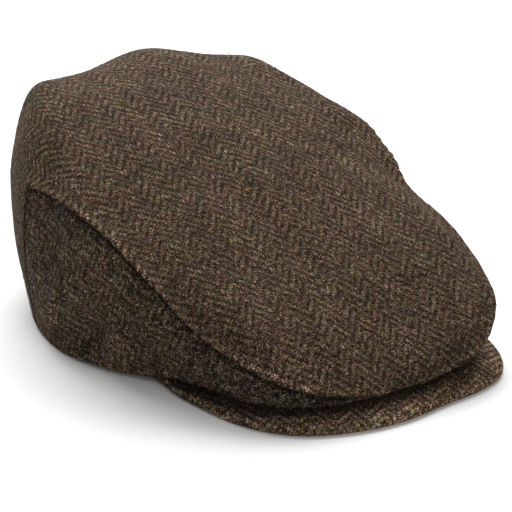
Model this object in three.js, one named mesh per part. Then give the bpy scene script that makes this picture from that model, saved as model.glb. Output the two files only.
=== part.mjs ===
// Flat cap in woollen herringbone cloth, resting on a table.
// Millimetres, +Z up. The peak points to -Y and the wearer's right is -X.
// Angles go round the head centre in degrees: 0 is the front, 90 the wearer's right, 180 the back.

import * as THREE from 'three';

// Driving dimensions
const CLOTH_THICKNESS = 2.4;
const PIECE_GAP = 0.3;
const HEM_GAP = 0.5;
const PEAK_THICKNESS = 5;
const PEAK_TIP_THICKNESS = 2.8;
const PEAK_CORNER_ANGLE = 64;
const PEAK_TOP_SLOPE = 0.2;
const PEAK_TURN = 1.5;
const PEAK_INNER_HALF_WIDTH = 78;
const PEAK_INNER_HALF_LENGTH = 90;
const SIDE_FRONT_ANGLE = 4;
const SIDE_BACK_ANGLE = 108;
const HALF_WIDTH = 90;
const HEAD_CENTRE_Y = 21.16;

// Mesh resolution
const COLUMN_STEP = 4;
const ROWS_PER_SPAN = [4, 4, 4, 3, 2, 2, 1];
const PEAK_COLUMNS = 32;
const PEAK_ROWS = 5;
const PEAK_EDGE_STEPS = 6;

// Upright outline of the cap at each angle: the hem, the fullest point of the side, and the
// edge where the side turns into the top
const RING = [
  // angle, hem_r, belly_r, belly_z, edge_r, edge_z
  [0, 143, 146, 12, 145, 16],
  [12, 143, 146, 12.5, 145, 17],
  [20, 141, 145, 14, 143, 20],
  [28, 133, 138, 17, 137, 25],
  [39, 113, 121, 21, 122, 35],
  [51, 100, 109, 26, 109, 53],
  [68, 96.5, 100, 31, 97, 69],
  [90, 94, 96, 36, 92, 75],
  [110, 93, 98, 36, 95, 73],
  [132, 94, 102, 35, 103, 67],
  [155, 97, 109, 38, 111, 70],
  [180, 98, 112, 40, 113, 72],
];

// Level of the outline where the seam runs: 0 is the hem, 1 the fullest point, 2 the top of the side
const SEAM_LINE = [
  // angle, level
  [0, 0.3],
  [12, 1.2],
  [20, 1.6],
  [29, 1.98],
  [39, 2.06],
  [55, 2],
];

// Top of the crown from front to back: the height on the centre line and the fall to the sides
const TOP = [
  // y, centre_z, side_fall
  [-140, 24, 2],
  [-120, 37, 4],
  [-90, 54.5, 9],
  [-45, 76.5, 12],
  [0, 94.5, 12],
  [45, 106.5, 10],
  [80, 109, 7],
  [105, 102, 8],
];

// How far along the top the profile points lie, as a share of the edge radius
const TOP_SHARES = [0.88, 0.66, 0.42, 0.2, 0];

// Where the edge of the crown is pushed out or sunk in, out from the head centre and up
const BULGES = [
  // angle, angle_reach, out, up
  [-20, 7, 2.5, 0],
  [-30, 16, 7, 5],
  [-63, 12, -5, -7],
  [-79, 6, 0, -2.5],
  [-92, 8, 0, 3],
  [-100, 14, -1, 0.5],
  [-118, 10, 0, -3],
  [-133, 7, 0, 2.5],
  [-140, 20, -2, -3.5],
  [-150, 9, 0, -5],
  [-170, 10, 1, 6],
  [165, 10, 0, -6],
  [150, 9, 0, -3.5],
  [141, 8, 1, 2],
];

// Soft folds of the side panels: a height is pushed out, a negative one pushed in
const FOLDS = [
  // angle, level, angle_reach, level_reach, lean, height
  [91, 0.75, 6, 0.5, -16, 2.2],
  [74, 0.5, 5, 0.5, -10, -2.2],
  [-91, 0.9, 7, 0.5, 14, 2.6],
];

// Outer edge of the peak: its radius and the height of its underside
const PEAK_EDGE = [
  // angle, outer_r, under_z
  [0, 157, 0],
  [12, 156.5, 0],
  [20, 154, 0],
  [24, 151, 0.1],
  [28, 146, 0.2],
  [33, 137, 0.3],
  [41, 119, 0.5],
  [49, 102, 0.6],
  [54, 94.5, 0.7],
  [58, 92, 0.7],
  [64, 89, 0.8],
];

// Where the edge of the peak runs out beyond that line or falls short of it
const PEAK_BULGES = [
  // angle, angle_reach, out
  [-21, 7, 3],
  [-6, 6, -1.8],
  [46, 6, 2],
];

// Smooth reading of one table column: cubic between rows, level slope at both ends
function readTable(table, column, at) {
  const last = table.length - 1;
  const x = Math.min(Math.max(at, table[0][0]), table[last][0]);
  let i = 0;
  while (i < last - 1 && x > table[i + 1][0]) i += 1;
  const slope = (k) => {
    if (k === 0 || k === last) return 0;
    return (table[k + 1][column] - table[k - 1][column]) / (table[k + 1][0] - table[k - 1][0]);
  };
  const span = table[i + 1][0] - table[i][0];
  const t = (x - table[i][0]) / span;
  const rise = table[i + 1][column] - table[i][column];
  const a = slope(i) * span - rise;
  const b = rise - slope(i + 1) * span;
  return table[i][column] + t * rise + t * (1 - t) * (a * (1 - t) + b * t);
}

function turnBetween(angle, other) {
  return ((angle - other + 540) % 360 + 360) % 360 - 180;
}

// Angle folded to 0..180, so that the tables serve both sides
function foldAngle(angle) {
  return Math.abs(turnBetween(angle, 0));
}

function polar(angle, radius, z) {
  const a = THREE.MathUtils.degToRad(angle);
  return new THREE.Vector3(-radius * Math.sin(a), -radius * Math.cos(a), z);
}

function peakRadius(angle) {
  let radius = readTable(PEAK_EDGE, 1, foldAngle(angle + PEAK_TURN));
  for (const [at, reach, out] of PEAK_BULGES) {
    radius += out * Math.exp(-((turnBetween(angle, at) / reach) ** 2));
  }
  return radius;
}

function peakThickness(angle) {
  const share = Math.min(foldAngle(angle) / PEAK_CORNER_ANGLE, 1);
  return THREE.MathUtils.lerp(PEAK_THICKNESS, PEAK_TIP_THICKNESS, share ** 3);
}

// Top surface of the peak
function peakTop(angle, radius) {
  const side = foldAngle(angle + PEAK_TURN);
  const thickness = peakThickness(angle);
  const inward = peakRadius(angle) - thickness / 2 - radius;
  return Math.max(readTable(PEAK_EDGE, 2, side), 0) + thickness + PEAK_TOP_SLOPE * inward;
}

// Height of the hem: flat on the table at the back and sides, lying on the peak at the front
function hemHeight(angle, radius) {
  const side = foldAngle(angle);
  const rest = THREE.MathUtils.smoothstep(side, PEAK_CORNER_ANGLE + 4, 88);
  return (peakTop(angle, radius) + HEM_GAP) * (1 - rest);
}

function topHeight(x, y) {
  return readTable(TOP, 1, y) - readTable(TOP, 2, y) * (x / HALF_WIDTH) ** 2;
}

function bulgeAt(angle) {
  const push = { out: 0, up: 0 };
  for (const [at, reach, out, up] of BULGES) {
    const weight = Math.exp(-((turnBetween(angle, at) / reach) ** 2));
    push.out += out * weight;
    push.up += up * weight;
  }
  return push;
}

// Smooth outline of the cap at one angle, from the hem (level 0) over the edge (level 2) to the pole
function outlineAt(angle) {
  const side = foldAngle(angle);
  const hemRadius = readTable(RING, 1, side);
  const { out, up } = bulgeAt(angle);
  const edgeRadius = readTable(RING, 4, side) + out;
  const points = [
    polar(angle, hemRadius, hemHeight(angle, hemRadius)),
    polar(angle, readTable(RING, 2, side) + out / 2, readTable(RING, 3, side) + up / 2),
    polar(angle, edgeRadius, readTable(RING, 5, side) + up),
  ];
  for (const share of TOP_SHARES) {
    const p = polar(angle, edgeRadius * share, 0);
    p.z = topHeight(p.x, p.y) + up * share ** 4;
    points.push(p);
  }
  return new THREE.CatmullRomCurve3(points, false, 'centripetal');
}

const EDGE_LEVEL = 2;
const LEVELS = EDGE_LEVEL + TOP_SHARES.length;

function seamLevel(angle) {
  return readTable(SEAM_LINE, 1, foldAngle(angle));
}

// Level of a grid row: the row at the edge level follows the seam
function rowLevelAt(angle, level) {
  const seam = seamLevel(angle);
  if (level <= EDGE_LEVEL) return seam * level / EDGE_LEVEL;
  return level + (seam - EDGE_LEVEL) * Math.max(EDGE_LEVEL + 1 - level, 0);
}

function smoothPoint(angle, level) {
  return outlineAt(angle).getPoint(level / LEVELS);
}

function normalOf(surface, angle, level) {
  const up = Math.min(level + 0.02, LEVELS - 0.12);
  const down = Math.max(Math.min(level, LEVELS - 0.12) - 0.02, 0);
  const along = surface(angle, up).sub(surface(angle, down));
  const mid = (up + down) / 2;
  const around = surface(angle + 0.5, mid).sub(surface(angle - 0.5, mid));
  return around.cross(along).normalize().negate();
}

function foldHeight(angle, level) {
  let height = 0;
  for (const [at, atLevel, reach, levelReach, lean, rise] of FOLDS) {
    const dl = level - atLevel;
    const da = turnBetween(angle, at + lean * dl);
    height += rise * Math.exp(-((da / reach) ** 2) - (dl / levelReach) ** 2);
  }
  return height * THREE.MathUtils.smoothstep(level, 0, 0.5);
}

function clothPoint(angle, level) {
  const p = smoothPoint(angle, level);
  const height = foldHeight(angle, level);
  return height === 0 ? p : p.addScaledVector(normalOf(smoothPoint, angle, level), height);
}

// The same point on the inside of the cloth; both pieces at the seam share its direction
function innerPoint(angle, level) {
  const p = clothPoint(angle, level);
  const seam = seamLevel(angle);
  const n = normalOf(clothPoint, angle, Math.abs(level - seam) < 0.1 ? seam : level);
  if (level === LEVELS) n.set(0, -0.35, 1).normalize();
  if (level === 0) {
    n.setZ(0).normalize();
    p.addScaledVector(n, -CLOTH_THICKNESS);
    p.z = hemHeight(angle, Math.hypot(p.x, p.y));
    return p;
  }
  return p.addScaledVector(n, -CLOTH_THICKNESS);
}

// Levels of the rows, dense where the cloth bends
function rowLevels() {
  const levels = [0];
  ROWS_PER_SPAN.forEach((count, span) => {
    for (let k = 1; k <= count; k += 1) levels.push(span + k / count);
  });
  return levels;
}

// Closed shell over the cells of a grid that belong to one panel
function panelGeometry(angles, levels, seamShift, inPanel) {
  const positions = [];
  const faces = [];
  const index = new Map();
  const closed = angles[angles.length - 1] - angles[0] > 359;
  const columns = closed ? angles.length - 1 : angles.length;
  const vertex = (i, j, inside) => {
    const column = levels[j] === LEVELS ? 0 : i % columns;
    const key = `${column},${j},${inside}`;
    if (!index.has(key)) {
      const angle = angles[column];
      const atSeam = levels[j] === EDGE_LEVEL;
      const level = atSeam ? seamLevelAt(angle, seamShift) : rowLevelAt(angle, levels[j]);
      const p = inside ? innerPoint(angle, level) : clothPoint(angle, level);
      index.set(key, positions.length / 3);
      positions.push(p.x, p.y + HEAD_CENTRE_Y, p.z);
    }
    return index.get(key);
  };
  const quad = (a, b, c, d) => {
    for (const [p, q, r] of [[a, b, c], [a, c, d]]) {
      if (p !== q && q !== r && r !== p) faces.push(p, q, r);
    }
  };
  const used = (i, j) => {
    if (j < 0 || j >= levels.length - 1) return false;
    const column = closed ? (i + columns) % columns : i;
    if (column < 0 || column >= angles.length - 1) return false;
    return inPanel(column, j);
  };
  for (let i = 0; i < angles.length - 1; i += 1) {
    for (let j = 0; j < levels.length - 1; j += 1) {
      if (!used(i, j)) continue;
      const corner = [[i, j], [i, j + 1], [i + 1, j + 1], [i + 1, j]];
      const outside = corner.map(([a, b]) => vertex(a, b, 0));
      const inside = corner.map(([a, b]) => vertex(a, b, 1));
      quad(outside[0], outside[1], outside[2], outside[3]);
      quad(inside[3], inside[2], inside[1], inside[0]);
      const neighbours = [[i - 1, j], [i, j + 1], [i + 1, j], [i, j - 1]];
      neighbours.forEach(([a, b], k) => {
        const atPole = b >= 0 && levels[b] === LEVELS;
        if (atPole || used(a, b)) return;
        const m = (k + 1) % 4;
        const wall = [outside[m], outside[k], inside[k], inside[m]];
        // Walls that face each other across a seam are split along the same diagonal
        if (k === 1) wall.push(wall.shift());
        quad(...wall);
      });
    }
  }
  const geometry = new THREE.BufferGeometry();
  geometry.setAttribute('position', new THREE.Float32BufferAttribute(positions, 3));
  geometry.setIndex(faces);
  return geometry;
}

// Shift of an angle that moves the cloth by half the gap between two pieces
function halfGapAngle(angle) {
  return THREE.MathUtils.radToDeg(PIECE_GAP / 2 / readTable(RING, 4, foldAngle(angle)));
}

// Level that lies a given distance above the seam
function seamLevelAt(angle, distance) {
  const seam = seamLevel(angle);
  const step = 0.05 * Math.sign(distance);
  const reach = clothPoint(angle, seam).distanceTo(clothPoint(angle, seam + step));
  return seam + step * Math.abs(distance) / reach;
}

// Crown: everything above the seam, and the whole height at the back and over the centre front
function crownGeometry() {
  const angles = [];
  for (let a = 0; a <= 360; a += COLUMN_STEP) angles.push(a);
  const shift = halfGapAngle(SIDE_BACK_ANGLE);
  const frontShift = halfGapAngle(SIDE_FRONT_ANGLE);
  const moved = angles.map((a) => {
    if (a === SIDE_FRONT_ANGLE) return a - frontShift;
    if (a === 360 - SIDE_FRONT_ANGLE) return a + frontShift;
    if (a === SIDE_BACK_ANGLE) return a + shift;
    if (a === 360 - SIDE_BACK_ANGLE) return a - shift;
    return a;
  });
  const levels = rowLevels();
  const seamRow = levels.indexOf(EDGE_LEVEL);
  return panelGeometry(moved, levels, PIECE_GAP / 2, (i, j) => {
    if (j >= seamRow) return true;
    const middle = foldAngle((angles[i] + angles[i + 1]) / 2);
    return middle < SIDE_FRONT_ANGLE || middle > SIDE_BACK_ANGLE;
  });
}

function sideGeometry(mirror) {
  const angles = [];
  for (let a = SIDE_FRONT_ANGLE; a <= SIDE_BACK_ANGLE; a += COLUMN_STEP) angles.push(a);
  angles[0] += halfGapAngle(SIDE_FRONT_ANGLE);
  angles[angles.length - 1] -= halfGapAngle(SIDE_BACK_ANGLE);
  const levels = rowLevels().filter((level) => level <= EDGE_LEVEL);
  const turned = mirror ? angles.map((a) => -a).reverse() : angles;
  return panelGeometry(turned, levels, -PIECE_GAP / 2, () => true);
}

// Peak: flat crescent with a rounded outer edge
function peakSection(angle) {
  const outer = peakRadius(angle);
  const a = THREE.MathUtils.degToRad(angle);
  const inner = 1 / Math.hypot(Math.sin(a) / PEAK_INNER_HALF_WIDTH, Math.cos(a) / PEAK_INNER_HALF_LENGTH);
  const thickness = peakThickness(angle);
  const round = thickness / 2;
  const points = [];
  for (let k = 0; k <= PEAK_ROWS; k += 1) {
    const r = THREE.MathUtils.lerp(inner, outer - round, k / PEAK_ROWS);
    points.push(polar(angle, r, peakTop(angle, r)));
  }
  const centre = peakTop(angle, outer - round) - round;
  for (let k = 1; k < PEAK_EDGE_STEPS; k += 1) {
    const turn = Math.PI * k / PEAK_EDGE_STEPS;
    points.push(polar(angle, outer - round + round * Math.sin(turn), centre + round * Math.cos(turn)));
  }
  for (let k = PEAK_ROWS; k >= 0; k -= 1) {
    const r = THREE.MathUtils.lerp(inner, outer - round, k / PEAK_ROWS);
    points.push(polar(angle, r, peakTop(angle, r) - thickness));
  }
  return points;
}

function peakGeometry() {
  const positions = [];
  const faces = [];
  let size = 0;
  for (let i = 0; i <= PEAK_COLUMNS; i += 1) {
    const angle = PEAK_CORNER_ANGLE * (2 * i / PEAK_COLUMNS - 1);
    const section = peakSection(angle);
    size = section.length;
    for (const p of section) positions.push(p.x, p.y + HEAD_CENTRE_Y, p.z);
  }
  for (let i = 0; i < PEAK_COLUMNS; i += 1) {
    for (let k = 0; k < size; k += 1) {
      const a = i * size + k;
      const b = i * size + (k + 1) % size;
      faces.push(a, b + size, b, a, a + size, b + size);
    }
  }
  const end = PEAK_COLUMNS * size;
  for (let k = 0; k < size / 2 - 1; k += 1) {
    const m = size - 1 - k;
    faces.push(k, m - 1, m, k, k + 1, m - 1);
    faces.push(end + k, end + m, end + m - 1, end + k, end + m - 1, end + k + 1);
  }
  const geometry = new THREE.BufferGeometry();
  geometry.setAttribute('position', new THREE.Float32BufferAttribute(positions, 3));
  geometry.setIndex(faces);
  return geometry;
}

function piece(name, geometry, color) {
  geometry.computeVertexNormals();
  const mesh = new THREE.Mesh(geometry, new THREE.MeshStandardMaterial({ color, roughness: 0.95 }));
  mesh.name = name;
  return mesh;
}

const cap = new THREE.Group();
cap.name = 'flat_cap';
cap.add(piece('crown_panel', crownGeometry(), 0x4b3f34));
cap.add(piece('side_panel_right', sideGeometry(false), 0x43382e));
cap.add(piece('side_panel_left', sideGeometry(true), 0x43382e));
cap.add(piece('peak', peakGeometry(), 0x4f4236));

export default cap;
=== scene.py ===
"""Flat cap in woollen herringbone cloth: cloth panels, peak, fuzz, floor, light and camera."""
import math

import bpy
import numpy as np
from mathutils import Matrix, Vector


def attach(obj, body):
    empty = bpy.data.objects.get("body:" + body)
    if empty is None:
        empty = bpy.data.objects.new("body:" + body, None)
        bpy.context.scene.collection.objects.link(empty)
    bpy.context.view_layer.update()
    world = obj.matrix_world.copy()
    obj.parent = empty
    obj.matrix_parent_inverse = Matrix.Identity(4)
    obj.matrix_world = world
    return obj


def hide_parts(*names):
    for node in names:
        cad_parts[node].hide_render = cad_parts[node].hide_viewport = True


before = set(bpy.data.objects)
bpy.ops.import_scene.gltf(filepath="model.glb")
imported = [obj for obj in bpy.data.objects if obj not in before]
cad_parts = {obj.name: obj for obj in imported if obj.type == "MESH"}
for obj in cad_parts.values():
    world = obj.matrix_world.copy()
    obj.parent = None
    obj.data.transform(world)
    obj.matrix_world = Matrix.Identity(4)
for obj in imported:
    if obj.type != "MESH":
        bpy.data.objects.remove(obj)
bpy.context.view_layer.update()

# Sizes in millimetres; meshes are scaled to metres when they are made
MM = 0.001
CLOTH_THICKNESS = 2.4
PIECE_GAP = 0.3
HEM_GAP = 0.5
PEAK_THICKNESS = 5.0
PEAK_TIP_THICKNESS = 2.8
PEAK_CORNER_ANGLE = 64.0
PEAK_TOP_SLOPE = 0.2
PEAK_TURN = 1.5
PEAK_INNER_HALF_WIDTH = 78.0
PEAK_INNER_HALF_LENGTH = 90.0
SIDE_FRONT_ANGLE = 4.0
SIDE_BACK_ANGLE = 108.0
HALF_WIDTH = 90.0
HEAD_CENTRE_Y = 21.16
# Angles between which the hem comes down from the peak to the table
HEM_DOWN_ANGLES = (PEAK_CORNER_ANGLE + 4, 88.0)

# Outline of the cap at each angle; 0 is the front, 90 the wearer's right, 180 the back
RING = np.array([
    # angle, hem_r, belly_r, belly_z, edge_r, edge_z
    [0, 143, 146, 12, 145, 16],
    [12, 143, 146, 12.5, 145, 17],
    [20, 141, 145, 14, 143, 20],
    [28, 133, 138, 17, 137, 25],
    [39, 113, 121, 21, 122, 35],
    [51, 100, 109, 26, 109, 53],
    [68, 96.5, 100, 31, 97, 69],
    [90, 94, 96, 36, 92, 75],
    [110, 93, 98, 36, 95, 73],
    [132, 94, 102, 35, 103, 67],
    [155, 97, 109, 38, 111, 70],
    [180, 98, 112, 40, 113, 72],
])
HEM_R, BELLY_R, BELLY_Z, EDGE_R, EDGE_Z = 1, 2, 3, 4, 5

# Level of the outline where the seam runs: 0 is the hem, 1 the fullest point, 2 the top of the side
SEAM_LINE = np.array([
    # angle, level
    [0, 0.3],
    [12, 1.2],
    [20, 1.6],
    [29, 1.98],
    [39, 2.06],
    [55, 2.0],
])
SEAM_LEVEL = 1

# Top of the crown from front to back
TOP = np.array([
    # y, centre_z, side_fall
    [-140, 24, 2],
    [-120, 37, 4],
    [-90, 54.5, 9],
    [-45, 76.5, 12],
    [0, 94.5, 12],
    [45, 106.5, 10],
    [80, 109, 7],
    [105, 102, 8],
])
CENTRE_Z, SIDE_FALL = 1, 2
TOP_SHARES = (0.88, 0.66, 0.42, 0.2, 0.0)
EDGE_LEVEL = 2
LEVELS = EDGE_LEVEL + len(TOP_SHARES)

# Where the edge of the crown is pushed out or sunk in
BULGES = (
    # angle, angle_reach, out, up
    (-20, 7, 2.5, 0),
    (-30, 16, 7, 5),
    (-63, 12, -5, -7),
    (-79, 6, 0, -2.5),
    (-92, 8, 0, 3),
    (-100, 14, -1, 0.5),
    (-118, 10, 0, -3),
    (-133, 7, 0, 2.5),
    (-140, 20, -2, -3.5),
    (-150, 9, 0, -5),
    (-170, 10, 1, 6),
    (165, 10, 0, -6),
    (150, 9, 0, -3.5),
    (141, 8, 1, 2),
)

# Soft folds of the cloth: the main ones of the side panels first, then smaller ones all round
FOLDS = (
    # angle, level, angle_reach, level_reach, lean, height
    (91, 0.75, 6, 0.5, -16, 2.2),
    (74, 0.5, 5, 0.5, -10, -2.2),
    (-91, 0.9, 7, 0.5, 14, 2.6),
    (92, 0.45, 4.5, 0.5, -10, 2.2),
    (72, 0.45, 4, 0.5, -10, -2.2),
    (64, 0.4, 4.5, 0.6, -8, 2.8),
    (94, 1.6, 10, 0.45, 0, -2.0),
    (120, 1.3, 5, 0.5, 10, -0.8),
    (70, 1.2, 6, 0.5, 18, 1.0),
    (58, 1.1, 5, 0.5, 20, -1.0),
    (-95, 1.0, 8, 0.6, 10, -1.5),
    (-115, 1.1, 7, 0.6, -10, 1.5),
    (170, 1.2, 8, 0.8, 6, 1.2),
    (205, 1.0, 8, 0.8, -8, -1.2),
)

# Painted light and shade of the cloth: painted shade (above 0) under the crown's overhang, in fold
# hollows and on the crown's front towards the peak, painted light (below 0) on fold ridges
PAINTED_LIGHT_AND_SHADE = (
    # angle, level, angle_reach, level_reach, lean, shade
    (89, 1.55, 9, 0.5, 0, 0.36),
    (93, 0.4, 4, 0.45, -15, -0.35),
    (73, 0.3, 4.5, 0.4, -8, 0.2),
    (61, 0.3, 6, 0.35, 0, -0.35),
    (42, 2.5, 12, 0.5, 0, 0.3),
    (-7, 3.1, 25, 0.6, 0, 0.1),
    (-20, 1.8, 20, 0.75, 0, 0.45),
    (0, 1.1, 14, 0.85, 0, 0.4),
)

# Outer edge of the peak
PEAK_EDGE = np.array([
    # angle, outer_r, under_z
    [0, 157, 0],
    [12, 156.5, 0],
    [20, 154, 0],
    [24, 151, 0.1],
    [28, 146, 0.2],
    [33, 137, 0.3],
    [41, 119, 0.5],
    [49, 102, 0.6],
    [54, 94.5, 0.7],
    [58, 92, 0.7],
    [64, 89, 0.8],
])
OUTER_R, UNDER_Z = 1, 2

# Where the edge of the peak runs out beyond that line or falls short of it
PEAK_BULGES = (
    # angle, angle_reach, out
    (-21, 7, 3),
    (-6, 6, -1.8),
    (46, 6, 2),
)

# Least values, which keep divisions away from zero
LEAST_SPAN = 1e-4
LEAST_NORMAL = 1e-9
TOUCHING = 1e-6


def read_table(table, column, at):
    """Cubic reading of one table column, with level slope at both ends."""
    x, y = table[:, 0], table[:, column]
    at = np.clip(at, x[0], x[-1])
    slope = np.zeros(len(x))
    slope[1:-1] = (y[2:] - y[:-2]) / (x[2:] - x[:-2])
    i = np.clip(np.searchsorted(x, at, side="left") - 1, 0, len(x) - 2)
    span = x[i + 1] - x[i]
    t = (at - x[i]) / span
    rise = y[i + 1] - y[i]
    a = slope[i] * span - rise
    b = rise - slope[i + 1] * span
    return y[i] + t * rise + t * (1 - t) * (a * (1 - t) + b * t)


def turn_between(angle, other):
    """Turn from the other angle to this one, between -180 and 180 degrees."""
    return (angle - other + 180.0) % 360.0 - 180.0


def fold_angle(angle):
    """Angle away from the front, the same on both sides."""
    return np.abs(turn_between(angle, 0.0))


def smoothstep(x, low, high):
    """Smooth rise from 0 at the low value to 1 at the high one."""
    t = np.clip((x - low) / (high - low), 0.0, 1.0)
    return t * t * (3 - 2 * t)


def bell(distance, reach):
    """Soft bump: 1 at no distance, falling away over the reach."""
    return np.exp(-((distance / reach) ** 2))


def polar(angle, radius, z):
    """Points at an angle, a radius and a height round the centre of the head."""
    a = np.radians(angle)
    return np.stack(np.broadcast_arrays(-radius * np.sin(a), -radius * np.cos(a), z), axis=-1)


def peak_radius(angle):
    """Radius of the outer edge of the peak."""
    radius = read_table(PEAK_EDGE, OUTER_R, fold_angle(angle + PEAK_TURN))
    for at, reach, out in PEAK_BULGES:
        radius = radius + out * bell(turn_between(angle, at), reach)
    return radius


def peak_thickness(angle):
    """Thickness of the peak, which gets thinner towards its corners."""
    share = np.minimum(fold_angle(angle) / PEAK_CORNER_ANGLE, 1.0)
    return PEAK_THICKNESS + (PEAK_TIP_THICKNESS - PEAK_THICKNESS) * share ** 3


def peak_top(angle, radius):
    """Height of the upper face of the peak."""
    side = fold_angle(angle + PEAK_TURN)
    thickness = peak_thickness(angle)
    inward = peak_radius(angle) - thickness / 2 - radius
    return np.maximum(read_table(PEAK_EDGE, UNDER_Z, side), 0) + thickness + PEAK_TOP_SLOPE * inward


def hem_height(angle, radius):
    """Height of the hem: just above the peak in front, down on the table behind it."""
    down = smoothstep(fold_angle(angle), *HEM_DOWN_ANGLES)
    return (peak_top(angle, radius) + HEM_GAP) * (1 - down)


def outline_points(angle):
    """Key points (radius, height) of the outline at each angle, from the hem to the pole."""
    side = fold_angle(angle)
    out = np.zeros_like(angle)
    up = np.zeros_like(angle)
    for at, reach, push_out, push_up in BULGES:
        weight = bell(turn_between(angle, at), reach)
        out += push_out * weight
        up += push_up * weight
    hem_r = read_table(RING, HEM_R, side)
    edge_r = read_table(RING, EDGE_R, side) + out
    points = [
        (hem_r, hem_height(angle, hem_r)),
        (read_table(RING, BELLY_R, side) + out / 2, read_table(RING, BELLY_Z, side) + up / 2),
        (edge_r, read_table(RING, EDGE_Z, side) + up),
    ]
    for share in TOP_SHARES:
        r = edge_r * share
        p = polar(angle, r, 0.0)
        fall = read_table(TOP, SIDE_FALL, p[:, 1]) * (p[:, 0] / HALF_WIDTH) ** 2
        points.append((r, read_table(TOP, CENTRE_Z, p[:, 1]) - fall + up * share ** 4))
    return np.array([np.stack(p, axis=-1) for p in points])


def spline(points, level):
    """Centripetal curve through the key points, read at a level for each angle."""
    k = np.clip(np.floor(level).astype(int), 0, LEVELS - 1)
    t = (level - k)[..., None]
    before = np.concatenate([2 * points[:1] - points[1:2], points, 2 * points[-1:] - points[-2:-1]])
    column = np.arange(points.shape[1])[:, None]
    p0, p1, p2, p3 = (before[k + n, column] for n in range(4))
    d0, d1, d2 = (
        np.maximum(np.sum((b - a) ** 2, axis=-1, keepdims=True) ** 0.25, LEAST_SPAN)
        for a, b in ((p0, p1), (p1, p2), (p2, p3))
    )
    m1 = ((p1 - p0) / d0 - (p2 - p0) / (d0 + d1) + (p2 - p1) / d1) * d1
    m2 = ((p2 - p1) / d1 - (p3 - p1) / (d1 + d2) + (p3 - p2) / d2) * d1
    c2 = -3 * p1 + 3 * p2 - 2 * m1 - m2
    c3 = 2 * p1 - 2 * p2 + m1 + m2
    return p1 + t * (m1 + t * (c2 + t * c3))


def fold_height(angle, level, folds):
    """Sum of soft leaning folds, each a row of a fold table."""
    height = np.zeros(np.broadcast(angle, level).shape)
    for at, at_level, reach, level_reach, lean, rise in folds:
        dl = level - at_level
        da = turn_between(angle, at + lean * dl)
        height += rise * np.exp(-((da / reach) ** 2) - (dl / level_reach) ** 2)
    return height


# Slope of the crown at its pole, where the grid has no normal of its own
POLE_SLOPE = 0.35
POLE_NORMAL = np.array([0, -POLE_SLOPE, 1.0]) / math.hypot(POLE_SLOPE, 1.0)


def grid_normals(p, closed):
    """Outward normals of a grid of points, angle by level; a closed grid ends in the pole."""
    around = np.roll(p, -1, axis=0) - np.roll(p, 1, axis=0) if closed else np.gradient(p, axis=0)
    along = np.gradient(p, axis=1)
    n = np.cross(along, around)
    n /= np.maximum(np.linalg.norm(n, axis=-1, keepdims=True), LEAST_NORMAL)
    if closed:
        n[:, -1] = POLE_NORMAL
    return n


RIPPLE_SEED = 3
RIPPLE_LENGTHS = (28, 90)
RIPPLE_HEIGHT = 0.55
RIPPLE_WAVES = 28


def ripple(p):
    """Small uneven swell of the cloth, as a sum of long waves."""
    rng = np.random.default_rng(RIPPLE_SEED)
    total = np.zeros(p.shape[:-1])
    for _ in range(RIPPLE_WAVES):
        way = rng.normal(size=3)
        way *= 2 * math.pi / (np.linalg.norm(way) * rng.uniform(*RIPPLE_LENGTHS))
        total += np.sin(p @ way + rng.uniform(0, 2 * math.pi))
    return RIPPLE_HEIGHT * total / math.sqrt(RIPPLE_WAVES)


# Row and column spacing close to a sewn edge
EDGE_STEPS = np.array([0, 0.12, 0.3, 0.55, 0.85, 1.2, 1.7, 2.4, 3.3, 4.5, 6, 8, 10.5])
FRONT_STEPS = EDGE_STEPS[:9]
# A regular column is dropped where it lies closer than this share of a step to a seam's own column
CLOSEST_SHARE = 0.45
READS_PER_LEVEL = 80

# Edges of the panels
EDGE_RADIUS = 2.0
SUNK_EDGE_RADIUS = 1.1
BACK_EDGE_RADIUS = 2.2
HEM_RADIUS = 1.3
TUCK_DEPTH = 2.0
TUCK_REACH = 3.5
TUCK_ANGLES = (40, 54)
# Levels below which folds and ripples fade out towards the hem
FOLD_FADE_LEVEL = 0.5
RIPPLE_FADE_LEVEL = 1.0

# Shade of the cloth, as the share of its brightness that is taken away
SEAM_SHADE = 0.85
BACK_SHADE_REACH = 2.6
HEM_SHADE = 0.85
HEM_SHADE_REACH = 2.4
HEM_SHADE_ANGLES = (46, 58)
DARKEST = 0.92


def turned_edge(distance, radius):
    """Fall of the cloth where its edge is turned under."""
    t = 1 - np.clip(distance / radius, 0.0, 1.0)
    return -radius * (1 - np.sqrt(np.maximum(1 - t * t, 0.0)))


def hem_shade(angles, length):
    """Shade of the cloth close to the peak."""
    front = 1 - smoothstep(fold_angle(angles), *HEM_SHADE_ANGLES)
    return HEM_SHADE * front[:, None] * bell(length, HEM_SHADE_REACH)


def seam_columns(way):
    """Angles beside the back and front seam of a side: on the crown (way 1) or the side (way -1)."""
    back_r = float(read_table(RING, EDGE_R, SIDE_BACK_ANGLE))
    front_r = float(read_table(RING, EDGE_R, SIDE_FRONT_ANGLE))
    gap = PIECE_GAP / 2
    back = SIDE_BACK_ANGLE + np.degrees(way * (gap + EDGE_STEPS) / back_r)
    front = SIDE_FRONT_ANGLE + np.degrees(-way * (gap + FRONT_STEPS) / front_r)
    return back, front


def sorted_angles(step, low, high, extra):
    """Regular angles from low to high, with the extra ones among them."""
    spread = np.arange(low, high, step)
    for value in extra:
        spread = spread[np.abs(spread - value) > step * CLOSEST_SHARE]
    return np.unique(np.concatenate([spread, extra]))


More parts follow.
